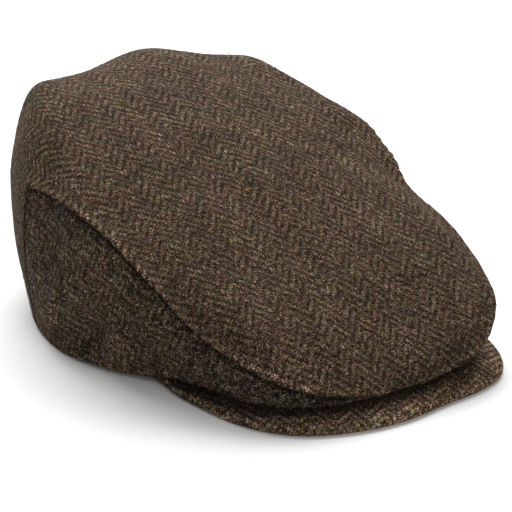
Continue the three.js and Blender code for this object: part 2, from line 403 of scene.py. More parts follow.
def base_surface(angles, rows):
    """Smooth outline read at rows of arc length; rows(seam_length, whole_length) gives them."""
    keys = outline_points(angles)
    levels = np.linspace(0, LEVELS, READS_PER_LEVEL * LEVELS + 1)
    dense = spline(keys, np.broadcast_to(levels, (len(angles), levels.size)))
    steps = np.linalg.norm(np.diff(dense, axis=1), axis=-1)
    length = np.concatenate([np.zeros((len(angles), 1)), np.cumsum(steps, axis=1)], axis=1)
    seam_level = read_table(SEAM_LINE, SEAM_LEVEL, fold_angle(angles))
    seam = np.array([np.interp(at, levels, way) for at, way in zip(seam_level, length)])
    wanted = np.array([rows(a, b) for a, b in zip(seam, length[:, -1])])
    level = np.array([np.interp(w, s, levels) for w, s in zip(wanted, length)])
    rz = spline(keys, level)
    # Over the peak the cloth is drawn in under its own fullness
    front = 1 - smoothstep(fold_angle(angles), *TUCK_ANGLES)
    near_hem = bell(wanted, TUCK_REACH)
    hem_r = rz[:, 0, 0]
    rise = hem_height(angles, hem_r - TUCK_DEPTH * front) - hem_height(angles, hem_r)
    rz[..., 0] -= TUCK_DEPTH * front[:, None] * near_hem
    rz[..., 1] += rise[:, None] * near_hem
    return polar(angles[:, None], rz[..., 0], rz[..., 1]), level, wanted, seam


def swollen(base, angles, level, closed):
    """Surface with its folds and its uneven swell, and the normals of that."""
    ease = smoothstep(level, 0.0, FOLD_FADE_LEVEL)
    swell = fold_height(angles[:, None], level, FOLDS) * ease
    swell += ripple(base) * ease * smoothstep(level, 0.0, RIPPLE_FADE_LEVEL)
    base = base + grid_normals(base, closed) * swell[..., None]
    if closed:
        base[:, -1] = base[0, -1]
    return base, grid_normals(base, closed)


def inner_wall(base, n, angles):
    """Inside of the cloth, with its lowest row at the height of the hem."""
    inner_n = n.copy()
    inner_n[:, 0, 2] = 0
    inner_n[:, 0] /= np.linalg.norm(inner_n[:, 0], axis=-1, keepdims=True)
    inner = base - inner_n * CLOTH_THICKNESS
    inner[:, 0, 2] = hem_height(angles, np.hypot(inner[:, 0, 0], inner[:, 0, 1]))
    return inner


def turned_grain(x, y, angle):
    """Flat places on the cloth, with its grain turned by an angle."""
    c, s = math.cos(angle), math.sin(angle)
    return np.stack([c * x - s * y, s * x + c * y], axis=-1)


def shell(outer, inner, cells, closed, uv, shade):
    """Closed cloth of the used cells of a grid: points, faces, flat place and shade of each point."""
    columns, rows = outer.shape[:2]
    index = np.arange(columns * rows).reshape(columns, rows)
    if closed:
        index[:, -1] = index[0, -1]
    right = np.roll(index, -1, axis=0) if closed else np.concatenate([index[1:], index[-1:]])
    count = columns if closed else columns - 1
    inside = columns * rows
    corner = np.stack([
        index[:count, :-1], right[:count, :-1], right[:count, 1:], index[:count, 1:],
    ], axis=-1)
    faces = []
    for quad in corner[cells]:
        ring = list(dict.fromkeys(quad.tolist()))
        faces.append(ring)
        faces.append([v + inside for v in reversed(ring)])
    # Walls along the edge of the used cells join the outside to the inside
    padded = np.pad(cells, 1)
    if closed:
        padded[0, 1:-1] = cells[-1]
        padded[-1, 1:-1] = cells[0]
    neighbours = (
        (padded[:-2, 1:-1], 3, 0),
        (padded[2:, 1:-1], 1, 2),
        (padded[1:-1, :-2], 0, 1),
        (padded[1:-1, 2:], 2, 3),
    )
    for other, a, b in neighbours:
        for quad in corner[cells & ~other]:
            if quad[a] != quad[b]:
                faces.append([quad[b], quad[a], quad[a] + inside, quad[b] + inside])
    points = np.concatenate([outer.reshape(-1, 3), inner.reshape(-1, 3)])
    flat = np.concatenate([uv.reshape(-1, 2), uv.reshape(-1, 2)])
    return points, faces, flat, np.concatenate([shade.ravel(), shade.ravel()])


SHARP_ANGLE = math.radians(60)


def make_piece(name, points, faces, flat, shade, material, node=None, slot=None):
    """Mesh object in metres in the frame of the CAD, riding on the body."""
    used = np.unique(np.concatenate([np.asarray(f) for f in faces]))
    place = np.zeros(len(points), dtype=int)
    place[used] = np.arange(len(used))
    points = (points[used] + np.array([0, HEAD_CENTRE_Y, 0])) * MM
    mesh = bpy.data.meshes.new(name)
    mesh.from_pydata(points.tolist(), [], [place[np.asarray(f)].tolist() for f in faces])
    layer = mesh.uv_layers.new(name="weave")
    corners = np.zeros(len(mesh.loops), dtype=np.int32)
    mesh.loops.foreach_get("vertex_index", corners)
    layer.data.foreach_set("uv", flat[used][corners].astype(np.float32).ravel())
    stored = mesh.attributes.new("shade", "FLOAT", "POINT")
    stored.data.foreach_set("value", shade[used].astype(np.float32))
    mesh.shade_smooth()
    mesh.set_sharp_from_angle(angle=SHARP_ANGLE)
    mesh.materials.append(material)
    mesh.validate()
    piece = bpy.data.objects.new(name, mesh)
    bpy.context.collection.objects.link(piece)
    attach(piece, "root")
    if node:
        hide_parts(node)
    return piece


# Colour sockets of the Mix node
MIX_A, MIX_B, MIX_RESULT = 6, 7, 2


class Nodes:
    """Short way to add linked shader nodes."""

    def __init__(self, material):
        material.use_nodes = True
        self.tree = material.node_tree
        self.tree.nodes.clear()

    def add(self, kind, **values):
        node = self.tree.nodes.new(kind)
        for key, value in values.items():
            setattr(node, key, value)
        return node

    def put(self, socket, value):
        """Link a socket to another one, or set its own value."""
        if isinstance(value, bpy.types.NodeSocket):
            self.tree.links.new(value, socket)
        else:
            socket.default_value = value

    def fill(self, node, *values):
        """Set the inputs of a node in order and give its first output."""
        for socket, value in zip(node.inputs, values):
            self.put(socket, value)
        return node.outputs[0]

    def math(self, operation, *values):
        return self.fill(self.add("ShaderNodeMath", operation=operation), *values)

    def vector_math(self, operation, *values):
        return self.fill(self.add("ShaderNodeVectorMath", operation=operation), *values)

    def vector(self, x, y, z):
        return self.fill(self.add("ShaderNodeCombineXYZ"), x, y, z)

    def gray(self, level):
        return self.fill(self.add("ShaderNodeCombineColor"), level, level, level)

    def split(self, vector):
        node = self.add("ShaderNodeSeparateXYZ")
        self.put(node.inputs[0], vector)
        return node.outputs

    def noise(self, vector, scale, detail=2.0, rough=0.5):
        node = self.add("ShaderNodeTexNoise")
        self.put(node.inputs["Vector"], vector)
        node.inputs["Scale"].default_value = scale
        node.inputs["Detail"].default_value = detail
        node.inputs["Roughness"].default_value = rough
        return node.outputs["Fac"]

    def drift(self, vector, scale, reach, start):
        """Noise of three channels, times the reach and added to the start."""
        node = self.add("ShaderNodeTexNoise")
        self.put(node.inputs["Vector"], vector)
        node.inputs["Scale"].default_value = scale
        return self.vector_math("MULTIPLY_ADD", node.outputs["Color"], reach, start)

    def random(self, vector):
        node = self.add("ShaderNodeTexWhiteNoise", noise_dimensions="3D")
        self.put(node.inputs["Vector"], vector)
        return node.outputs["Value"]

    def ramp(self, factor, stops):
        node = self.add("ShaderNodeValToRGB")
        self.put(node.inputs[0], factor)
        elements = node.color_ramp.elements
        while len(elements) < len(stops):
            elements.new(0.5)
        for element, (place, color) in zip(elements, stops):
            element.position = place
            element.color = (*color, 1.0)
        return node.outputs[0]

    def mix(self, factor, a, b, blend="MIX"):
        node = self.add("ShaderNodeMix", data_type="RGBA", blend_type=blend)
        self.put(node.inputs[0], factor)
        self.put(node.inputs[MIX_A], a)
        self.put(node.inputs[MIX_B], b)
        return node.outputs[MIX_RESULT]

    def surface(self, values):
        """Principled shader with its sockets set by name, joined to the output."""
        shader = self.add("ShaderNodeBsdfPrincipled")
        for name, value in values.items():
            self.put(shader.inputs[name], value)
        output = self.add("ShaderNodeOutputMaterial")
        self.put(output.inputs[0], shader.outputs[0])


# Woollen herringbone: warp yarns run along v and weft yarns along u, both in millimetres
WARP_PITCH = 1.13
WEFT_PITCH = 1.33
COLUMN_YARNS = 7
COLUMN_SHIFT = 2.0
# Of each four crossings in turn, the warp lies over the weft at the two that count below the limit
TWILL_YARNS = 4.0
TWILL_OVER = 1.5
# How far the yarns run out of line: scale of the noise per millimetre, reach
YARN_WANDER = ((0.11, 1.8), (0.9, 0.9))

# Yarn colours: the noise is stretched along each yarn, and neighbours lie far apart in it
YARN_APART = 7.31
HEATHER_SCALE = 0.22
HEATHER_DETAIL, HEATHER_ROUGH = 3.0, 0.6
WARP_COLORS = (
    (0.36, (0.020, 0.012, 0.007)),
    (0.45, (0.060, 0.035, 0.018)),
    (0.54, (0.122, 0.073, 0.037)),
    (0.66, (0.195, 0.130, 0.072)),
)
WEFT_COLORS = (
    (0.36, (0.004, 0.003, 0.0028)),
    (0.50, (0.013, 0.009, 0.007)),
    (0.66, (0.040, 0.026, 0.018)),
)

# Flecks on a few stretches of the warp, each some weft yarns long
FLECK_YARNS = 5.0
PLAIN_SHARE = 0.92
FLECK_STRENGTH = 0.6
FLECK_COLORS = (
    (0.0, (0.22, 0.10, 0.035)),
    (0.35, (0.18, 0.13, 0.045)),
    (0.6, (0.13, 0.115, 0.12)),
    (0.85, (0.27, 0.22, 0.15)),
)
# What is added to a cloth's seed for its other random patterns
WEFT_SEED, FLECK_SEED, FLECK_COLOR_SEED = 5.0, 9.0, 17.0

# Curled fibres seen as lines: scale of the curls per millimetre, place of the pattern, line width
FIBRE_CURLS = ((0.42, 3.0, 0.040), (0.75, 31.0, 0.055), (1.2, 57.0, 0.065))
FIBRE_DETAIL = 1.5
FIBRE_COVER_LOW, FIBRE_COVER_GAIN = 0.4, 0.5
FIBRE_BARE = 0.45
FIBRE_PATCH_SCALE = 0.6
FIBRE_TONE_SCALE = 0.5
FIBRE_TONE_ROUGH = 0.7
FIBRE_COLORS = (
    (0.30, (0.035, 0.021, 0.012)),
    (0.45, (0.140, 0.086, 0.045)),
    (0.58, (0.255, 0.175, 0.102)),
    (0.72, (0.450, 0.355, 0.240)),
)

# Drift of the dye: scale of the noise per millimetre, strength
DYE_DRIFT = ((0.16, 0.6), (0.6, 0.8))

# Brightness and relief of the cloth; scales are per millimetre, the depth in metres
YARN_LIGHT_LOW, YARN_LIGHT_GAIN = 0.65, 0.4
HAIR_SCALE = 0.95
HAIR_ROUGH = 0.75
PATCH_SCALE = 0.17
PATCH_ROUGH = 0.6
LEAST_PATCH = 0.2
SPECK_GAIN = 5.0
LEAST_SPECK = 0.15
BROAD_SCALE = 0.045
BROAD_LOW = 0.5
FINE_DETAIL = 3.0
OVER_RISE = 0.35
FIBRE_RISE = 0.8
BUMP_STRENGTH = 0.8
BUMP_DEPTH = 0.0007
CLOTH_FINISH = {
    "Roughness": 0.95,
    "Specular IOR Level": 0.08,
    "Sheen Weight": 0.03,
    "Sheen Roughness": 0.55,
    "Sheen Tint": (0.75, 0.58, 0.42, 1.0),
}


def herringbone(n, uv):
    """Places counted in yarns, the yarn at each place, and where the warp lies over the weft."""
    place = uv
    for scale, reach in YARN_WANDER:
        place = n.drift(uv, scale, (reach, reach, 0.0), place)
    across, along, _ = n.split(place)
    u = n.math("DIVIDE", across, WARP_PITCH)
    v = n.math("DIVIDE", along, WEFT_PITCH)
    warp = n.math("FLOOR", u)
    weft = n.math("FLOOR", v)
    column = n.math("FLOOR", n.math("DIVIDE", warp, COLUMN_YARNS))
    odd = n.math("FLOORED_MODULO", column, 2.0)
    slant = n.math("MULTIPLY_ADD", odd, -2.0, 1.0)
    shift = n.math("MULTIPLY", odd, COLUMN_SHIFT)
    order = n.math("ADD", n.math("MULTIPLY_ADD", warp, slant, weft), shift)
    over = n.math("LESS_THAN", n.math("FLOORED_MODULO", order, TWILL_YARNS), TWILL_OVER)
    return u, v, warp, weft, over


def yarn_color(n, weave, seed):
    """Heathered yarns: the tone changes along each yarn and from yarn to yarn."""
    u, v, i, j, over = weave
    warp_place = n.vector(
        n.math("MULTIPLY", i, YARN_APART), n.math("MULTIPLY", v, HEATHER_SCALE), seed,
    )
    weft_place = n.vector(
        n.math("MULTIPLY", u, HEATHER_SCALE), n.math("MULTIPLY", j, YARN_APART), seed + WEFT_SEED,
    )
    warp = n.ramp(n.noise(warp_place, 1.0, HEATHER_DETAIL, HEATHER_ROUGH), WARP_COLORS)
    weft = n.ramp(n.noise(weft_place, 1.0, HEATHER_DETAIL, HEATHER_ROUGH), WEFT_COLORS)
    stretch = n.math("FLOOR", n.math("DIVIDE", v, FLECK_YARNS))
    fleck = n.math("GREATER_THAN", n.random(n.vector(i, stretch, seed + FLECK_SEED)), PLAIN_SHARE)
    fleck = n.math("MULTIPLY", fleck, FLECK_STRENGTH)
    fleck_color = n.ramp(n.random(n.vector(i, stretch, seed + FLECK_COLOR_SEED)), FLECK_COLORS)
    return n.mix(over, weft, n.mix(fleck, warp, fleck_color))


def fibre_layer(n, uv, over, color, seed):
    """Loose fibres in curls across the yarns, denser on the raised ones: colour and where they lie."""
    cover = n.math("MULTIPLY_ADD", over, FIBRE_COVER_GAIN, FIBRE_COVER_LOW)
    strands = None
    for scale, offset, width in FIBRE_CURLS:
        place = n.vector_math("ADD", uv, (offset, offset, seed))
        off_line = n.math("ABSOLUTE", n.math("SUBTRACT", n.noise(place, scale, FIBRE_DETAIL), 0.5))
        line = n.math("MAXIMUM", n.math("MULTIPLY_ADD", off_line, -1.0 / width, 1.0), 0.0)
        patchy = n.math("GREATER_THAN", n.noise(place, scale * FIBRE_PATCH_SCALE, 0.0), FIBRE_BARE)
        strand = n.math("MULTIPLY", n.math("MULTIPLY", line, patchy), cover)
        tone = n.noise(place, scale * FIBRE_TONE_SCALE, rough=FIBRE_TONE_ROUGH)
        color = n.mix(strand, color, n.ramp(tone, FIBRE_COLORS))
        strands = strand if strands is None else n.math("MAXIMUM", strands, strand)
    return color, strands


def dyed(n, uv, color, cool):
    """Wool of several dyed colours: the tint drifts over a few millimetres. Cool adds an even blue as
    painted shade, most on the side panels.
    """
    for scale, strength in DYE_DRIFT:
        even = 1 - strength / 2
        tint = n.drift(uv, scale, (strength,) * 3, (even, even + cool / 3, even + cool))
        color = n.mix(1.0, color, tint, "MULTIPLY")
    return color


def yarn_height(n, weave):
    """Round yarns: 1 along the middle of the upper yarn, 0 at its sides."""
    u, v, _, _, over = weave
    under = n.math("SUBTRACT", 1.0, over)
    on_warp = n.math("MULTIPLY", over, n.math("FRACT", u))
    on_weft = n.math("MULTIPLY", under, n.math("FRACT", v))
    centred = n.math("MULTIPLY_ADD", n.math("ADD", on_warp, on_weft), 2.0, -1.0)
    return n.math("SUBTRACT", 1.0, n.math("MULTIPLY", centred, centred))


def cloth_level(n, uv, round_yarn, hairy, contrast, blotch, tone):
    """Brightness of the cloth from its yarns, specks and patches and the shade kept on the mesh."""
    yarn = n.math("MULTIPLY_ADD", round_yarn, YARN_LIGHT_GAIN, YARN_LIGHT_LOW)
    patch = n.noise(uv, PATCH_SCALE, FINE_DETAIL, PATCH_ROUGH)
    patch = n.math("MULTIPLY_ADD", patch, blotch * tone, (1 - blotch / 2) * tone)
    patch = n.math("MAXIMUM", patch, LEAST_PATCH * tone)
    speck = n.math("MULTIPLY_ADD", hairy, SPECK_GAIN * contrast, 1.0 - SPECK_GAIN / 2 * contrast)
    speck = n.math("MAXIMUM", speck, LEAST_SPECK)
    level = n.math("MULTIPLY", n.math("MULTIPLY", yarn, patch), speck)
    broad = n.math("ADD", n.noise(uv, BROAD_SCALE), BROAD_LOW)
    shade = n.add("ShaderNodeAttribute", attribute_name="shade").outputs["Fac"]
    return n.math("MULTIPLY", level, n.math("MULTIPLY", broad, n.math("SUBTRACT", 1.0, shade)))


def cloth_material(name, seed, contrast, blotch, tone, cool):
    """Herringbone cloth: contrast of specks, strength of blotches, brightness and added blue; the
    brightness and blue of each copy are painted light and shade.
    """
    material = bpy.data.materials.new(name)
    n = Nodes(material)
    uv = n.add("ShaderNodeUVMap", uv_map="weave").outputs[0]
    weave = herringbone(n, uv)
    over = weave[-1]
    color, strands = fibre_layer(n, uv, over, yarn_color(n, weave, seed), seed)
    color = dyed(n, uv, color, cool)
    round_yarn = yarn_height(n, weave)
    hairy = n.noise(uv, HAIR_SCALE, FINE_DETAIL, HAIR_ROUGH)
    level = cloth_level(n, uv, round_yarn, hairy, contrast, blotch, tone)
    color = n.mix(1.0, color, n.gray(level), "MULTIPLY")

    height = n.math("ADD", n.math("MULTIPLY_ADD", over, OVER_RISE, round_yarn), hairy)
    height = n.math("MULTIPLY_ADD", strands, FIBRE_RISE, height)
    bump = n.add("ShaderNodeBump")
    bump.inputs["Strength"].default_value = BUMP_STRENGTH
    bump.inputs["Distance"].default_value = BUMP_DEPTH
    n.put(bump.inputs["Height"], height)
    n.surface({"Base Color": color, "Normal": bump.outputs[0], **CLOTH_FINISH})
    return material


# Loose fibres that stand off the cloth; the tone of each is set by its place in the ramp
FUZZ_COLORS = (
    (0.0, (0.016, 0.011, 0.008)),
    (0.35, (0.060, 0.038, 0.022)),
    (0.62, (0.140, 0.092, 0.052)),
    (0.82, (0.220, 0.170, 0.115)),
    (0.98, (0.520, 0.470, 0.390)),
)
FUZZ_FINISH = {"Roughness": 0.9, "Specular IOR Level": 0.1}


def fuzz_material(name):
    """Wool of loose fibres."""
    material = bpy.data.materials.new(name)
    n = Nodes(material)
    tone, _, _ = n.split(n.add("ShaderNodeUVMap", uv_map="weave").outputs[0])
    n.surface({"Base Color": n.ramp(tone, FUZZ_COLORS), **FUZZ_FINISH})
    return material


# One cloth in three copies: the side copy is darker and bluer as painted shade, the peak copy brighter as
# painted light
crown_cloth = cloth_material("crown_cloth", seed=1.0, contrast=2.2, blotch=1.5, tone=0.98, cool=0.01)
side_cloth = cloth_material("side_cloth", seed=21.0, contrast=4.2, blotch=4.2, tone=0.75, cool=0.065)
peak_cloth = cloth_material("peak_cloth", seed=41.0, contrast=2.6, blotch=2.6, tone=1.52, cool=0.04)
loose_fibre = fuzz_material("loose_fibre")

# Crown panel: rows below the seam as shares of the way up to it, rows on the top, and the rolled seam
CROWN_ANGLE_STEP = 1.5
SKIRT_SHARES = np.concatenate([[0, 0.004, 0.01, 0.02, 0.035], np.linspace(0.05, 0.97, 40)])
CROWN_TOP_ROWS = 70
LIP_HEIGHT = 1.2
LIP_REACH = 3.5
PUCKER_LENGTH = 8.5
PUCKER_HEIGHT = 0.35
PUCKER_REACH = 7.0
PUCKER_WANDER = 2.5
PUCKER_WANDER_LENGTH = 23.0
# Painted shade in the crease of the rolled seam, and a painted highlight on the roll just above it
ROLL_SHADE_REACH = 0.8
ROLL_HIGHLIGHT = 0.5
ROLL_HIGHLIGHT_AT = 2.4
ROLL_HIGHLIGHT_REACH = 1.5
# Way forward at the pole, down the slope of the crown
CROWN_FORWARD = np.array([0, -0.91, -0.41])


def crown_rows(seam, whole):
    """Rows from the hem over the seam to the pole, as lengths along the cloth."""
    start = seam + PIECE_GAP / 2
    rest = start + EDGE_STEPS[-1]
    top = np.linspace(0, 1, CROWN_TOP_ROWS)[1:]
    return np.concatenate([SKIRT_SHARES * start, start + EDGE_STEPS, rest + top * (whole - rest)])


def crown_lift(away, rolled, along, length):
    """Relief of the crown near its seams and its hem."""
    lift = LIP_HEIGHT * rolled * bell(away, LIP_REACH)
    lift += turned_edge(away, BACK_EDGE_RADIUS + (EDGE_RADIUS - BACK_EDGE_RADIUS) * rolled)
    wander = PUCKER_WANDER * np.sin(along / PUCKER_WANDER_LENGTH)
    wave = np.sin(2 * math.pi * along / PUCKER_LENGTH + wander)
    lift += PUCKER_HEIGHT * rolled * wave * bell(away, PUCKER_REACH)
    return lift + turned_edge(length, HEM_RADIUS)


def build_crown():
    """Mesh of the crown panel, and the surface that its fuzz grows on."""
    back, front = seam_columns(1)
    beside_seams = np.concatenate([back, 360 - back, front, 360 - front])
    angles = sorted_angles(CROWN_ANGLE_STEP, 0.0, 360.0, beside_seams)
    base, level, length, seam = base_surface(angles, crown_rows)
    base, n = swollen(base, angles, level, True)

    # Distance from the seam; along the top the seam is rolled up, down the back it is flat
    side = fold_angle(angles)[:, None]
    radius = np.hypot(base[..., 0], base[..., 1])
    beyond = np.maximum(side - SIDE_BACK_ANGLE, 0) + np.maximum(SIDE_FRONT_ANGLE - side, 0)
    around = np.radians(beyond) * radius
    above = np.maximum(length - seam[:, None], 0)
    away = np.hypot(around, above)
    rolled = np.where(around < TOUCHING, 1.0, above / np.maximum(away, TOUCHING))
    along = np.radians(angles)[:, None] * radius

    outer = base + n * crown_lift(away, rolled, along, length)[..., None]
    outer[:, -1] = base[0, -1]
    outer[:, 0, 2] = base[:, 0, 2]
    inner = inner_wall(base, n, angles)
    inner[:, -1] = inner[0, -1]

    # Below the seam only the strips in front of the sides and behind them belong to the crown
    middle = fold_angle(angles + np.diff(np.append(angles, angles[0] + 360)) / 2)
    cells = np.ones((len(angles), base.shape[1] - 1), dtype=bool)
    cells[:, :len(SKIRT_SHARES)] = ((middle < front[0]) | (middle > back[0]))[:, None]

    # Flat place of each point: straight lines out from the pole, at their true length
    near = base[:, -3] - base[:, -1]
    way = np.arctan2(-near[:, 0], near @ CROWN_FORWARD)
    out = length[:, -1:] - length
    uv = np.stack([out * np.sin(way)[:, None], out * np.cos(way)[:, None]], axis=-1)

    # Painted highlight on the rolled edge of the crown, painted shade in the seams and on the hem over
    # the peak, and painted light and shade over the crown
    roll = SEAM_SHADE * bell(away, ROLL_SHADE_REACH)
    roll -= ROLL_HIGHLIGHT * bell(away - ROLL_HIGHLIGHT_AT, ROLL_HIGHLIGHT_REACH)
    shade = rolled * roll + (1 - rolled) * SEAM_SHADE * bell(away, BACK_SHADE_REACH)
    shade += fold_height(angles[:, None], level, PAINTED_LIGHT_AND_SHADE)
    shade = np.minimum(shade + hem_shade(angles, length), DARKEST)
    return shell(outer, inner, cells, True, uv, shade), (outer, n, cells, True)


# Side panels: rows, the edge that is sunk under the crown's roll, and shade
SIDE_ANGLE_STEP = 0.75
SIDE_ROWS = 46
SEAM_ROWS_SHARE = 0.3
HEM_STEPS = np.array([0, 0.12, 0.3, 0.6, 1.0])
HEM_STEPS_HEIGHT = 12
SINK_DEPTH = 2.2
SINK_REACH = 11.0
SINK_FULL_HEIGHT = 25
SINK_BACK_FADE = 10
SINK_HEM_FADE = 12
SINK_SHADES = (
    # shade, reach
    (0.4, 1.6),
    (0.36, 6.0),
)
SINK_SHADE_FULL_HEIGHT = 8
FOLD_SHADE = 0.05
FRONT_SHADE = 0.36
FRONT_SHADE_ANGLES = (40, 72)
# Columns of the side panels rise towards the front
SIDE_GRAIN = math.radians(28)


def side_rows(seam, _):
    """Rows from the hem up to the seam, as lengths along the cloth."""
    height = seam - PIECE_GAP / 2
    top = np.minimum(FRONT_STEPS, height * SEAM_ROWS_SHARE * FRONT_STEPS / FRONT_STEPS[-1])
    low = HEM_STEPS * min(1.0, height / HEM_STEPS_HEIGHT)
    middle = np.linspace(low[-1], height - top[-1], SIDE_ROWS)[1:-1]
    return np.concatenate([low, middle, (height - top)[::-1]])


def build_side(sign):
    """Mesh of a side panel, and the surface that its fuzz grows on; sign is 1 on the right."""
    back, front = seam_columns(-1)
    ends = np.array([front[-1], back[-1]])
    inside = sorted_angles(SIDE_ANGLE_STEP, *ends, ends)
    angles = np.unique(np.concatenate([front, inside, back]))
    angles = angles if sign > 0 else -angles[::-1]
    base, level, length, seam = base_surface(angles, side_rows)
    base, n = swollen(base, angles, level, False)

    side = fold_angle(angles)[:, None]
    radius = np.hypot(base[..., 0], base[..., 1])
    below = np.maximum(seam[:, None] - length, 0)
    to_back = np.radians(SIDE_BACK_ANGLE - side) * radius
    to_front = np.radians(side - SIDE_FRONT_ANGLE) * radius
    low_share = np.minimum(1.0, seam[:, None] / SINK_FULL_HEIGHT)
    sink = -SINK_DEPTH * bell(below, SINK_REACH) * smoothstep(to_back, 0, SINK_BACK_FADE)
    sink *= low_share * smoothstep(length, 0, SINK_HEM_FADE)
    base = base + n * sink[..., None]
    edge = low_share * np.minimum(
        turned_edge(below, SUNK_EDGE_RADIUS),
        turned_edge(np.minimum(to_back, to_front), BACK_EDGE_RADIUS),
    )
    edge += turned_edge(length, HEM_RADIUS)
    outer = base + n * edge[..., None]
    outer[:, 0, 2] = base[:, 0, 2]
    inner = inner_wall(base, n, angles)
    cells = np.ones((len(angles) - 1, base.shape[1] - 1), dtype=bool)

    # Flat place of each point: up along the cloth, and forward along its middle row
    belly = base[:, base.shape[1] // 2]
    steps = np.linalg.norm(np.diff(belly, axis=0), axis=-1)
    run = np.concatenate([[0], np.cumsum(steps)])
    ahead = (-run if sign > 0 else run - run[-1])[:, None]
    uv = turned_grain(length, ahead, SIDE_GRAIN)

    # Painted shade under the seam, in fold hollows, towards the front, at the back seam and over the
    # peak; painted light on fold ridges
    seam_share = np.minimum(1.0, seam[:, None] / SINK_SHADE_FULL_HEIGHT)
    shade = seam_share * sum(dark * bell(below, reach) for dark, reach in SINK_SHADES)
    shade -= FOLD_SHADE * fold_height(angles[:, None], level, FOLDS)
    shade += FRONT_SHADE * (1 - smoothstep(side, *FRONT_SHADE_ANGLES))
    shade += fold_height(angles[:, None], level, PAINTED_LIGHT_AND_SHADE)
    shade += SEAM_SHADE * bell(to_back, BACK_SHADE_REACH)
    shade = np.minimum(shade + hem_shade(angles, length), DARKEST)
    return shell(outer, inner, cells, False, uv, shade), (outer, n, cells, False)


# Peak: rows of its grid, and shade under the overhang of the crown
PEAK_GRAIN = math.radians(30)
PEAK_COLUMNS = 221
PEAK_FLAT_ROWS = 40
PEAK_EDGE_ROWS = 15
LEAST_PEAK_SHOWN = 6
PEAK_SHADE_SHARES = (0.1, 0.62)
PEAK_DEEP_SHARE = 0.5
PEAK_DEEP_ANGLES = (18, 40)
# Rows with fuzz: the outer half of the top, the rounded edge and a strip of the underside
PEAK_FUZZ_ROWS = slice(20, 64)


def peak_shade(angles, grid, outer_r):
    """Shade on the peak, dark where the crown hangs over it."""
    hem_r = outline_points(angles)[0][:, 0]
    covered = np.minimum(hem_r - TUCK_DEPTH, outer_r - LEAST_PEAK_SHOWN)[:, None]
    radius = np.hypot(grid[..., 0], grid[..., 1])
    share = (radius - covered) / (outer_r[:, None] - covered)
    deep = PEAK_DEEP_SHARE * smoothstep(angles, *PEAK_DEEP_ANGLES)[:, None]
    return HEM_SHADE * (1 - smoothstep(share - deep, *PEAK_SHADE_SHARES))


def peak_faces(columns, size):
    """Faces of the rings of points round the peak, with a cap at each corner."""
    index = np.arange(columns * size).reshape(columns, size)
    following = np.roll(index, -1, axis=1)
    quads = np.stack([index[:-1], index[1:], following[1:], following[:-1]], axis=-1)
    faces = quads.reshape(-1, 4).tolist()
    for end, flip in ((index[0], False), (index[-1], True)):
        for k in range(size // 2 - 1):
            quad = [end[k], end[k + 1], end[size - 2 - k], end[size - 1 - k]]
            faces.append(quad[::-1] if flip else quad)
    return faces


def build_peak():
    """Mesh of the peak, and the surface that its fuzz grows on."""
    angles = np.linspace(-PEAK_CORNER_ANGLE, PEAK_CORNER_ANGLE, PEAK_COLUMNS)
    a = np.radians(angles)
    outer_r = peak_radius(angles)
    inner_r = 1 / np.hypot(np.sin(a) / PEAK_INNER_HALF_WIDTH, np.cos(a) / PEAK_INNER_HALF_LENGTH)
    thickness = peak_thickness(angles)
    round_r = thickness / 2
    flat_r = outer_r - round_r
    centre = peak_top(angles, flat_r) - round_r
    flat_rows = [inner_r + (flat_r - inner_r) * share for share in np.linspace(0, 1, PEAK_FLAT_ROWS)]
    rings, runs = [], []
    for r in flat_rows:
        rings.append(polar(angles, r, peak_top(angles, r)))
        runs.append(r)
    for turn in np.linspace(0, math.pi, PEAK_EDGE_ROWS)[1:-1]:
        r = flat_r + round_r * math.sin(turn)
        rings.append(polar(angles, r, centre + round_r * math.cos(turn)))
        runs.append(flat_r + round_r * turn)
    for r in flat_rows[::-1]:
        rings.append(polar(angles, r, peak_top(angles, r) - thickness))
        runs.append(2 * flat_r + math.pi * round_r - r)
    grid = np.stack(rings, axis=1)
    spread = polar(angles[:, None], np.stack(runs, axis=1), 0.0)
    uv = turned_grain(spread[..., 0], spread[..., 1], PEAK_GRAIN)
    shade = peak_shade(angles, grid, outer_r)
    columns, size = grid.shape[:2]
    cells = np.zeros((columns - 1, size - 1), dtype=bool)
    cells[:, PEAK_FUZZ_ROWS] = True
    mesh = (grid.reshape(-1, 3), peak_faces(columns, size), uv.reshape(-1, 2), shade.ravel())
    return mesh, (grid, grid_normals(grid, False), cells, False)


crown_mesh, crown_surface = build_crown()
right_mesh, right_surface = build_side(1)
left_mesh, left_surface = build_side(-1)
crown_piece = make_piece("crown_panel_cloth", *crown_mesh, crown_cloth, "crown_panel", "crown_cloth")
right_piece = make_piece(
    "side_panel_right_cloth", *right_mesh, side_cloth, "side_panel_right", "side_cloth",
)
left_piece = make_piece(
    "side_panel_left_cloth", *left_mesh, side_cloth, "side_panel_left", "side_cloth",
)

peak_mesh, peak_surface = build_peak()
make_piece("peak_cloth_cover", *peak_mesh, peak_cloth, "peak", "peak_cloth")

# Fuzz: lengths and width of the fibres, steps along each, and their part of the colour ramp
SHORT_FIBRES = {"lengths": (1.2, 4.0), "width": 0.13, "steps": 3, "tones": (0, 1)}
LONG_HAIRS = {"lengths": (6, 14), "width": 0.26, "steps": 14, "tones": (0.84, 0.96)}
FIBRE_LENGTH_SPREAD = (0.6, 1.0)
FIBRE_WIDTH_SPREAD = (0.6, 1.3)
FIBRE_BEND = 1.3
FIBRE_BEND_LENGTH = 8
FIBRE_LIFT = (0.15, 0.9)
FIBRE_LIFT_LENGTH = 3
FIBRE_ARCH = math.pi * 0.75
FIBRE_ROLL = 0.9
FIBRE_TAPER = 0.75
ROOT_DEPTH = 0.05
FLOOR_CLEARANCE = 0.05


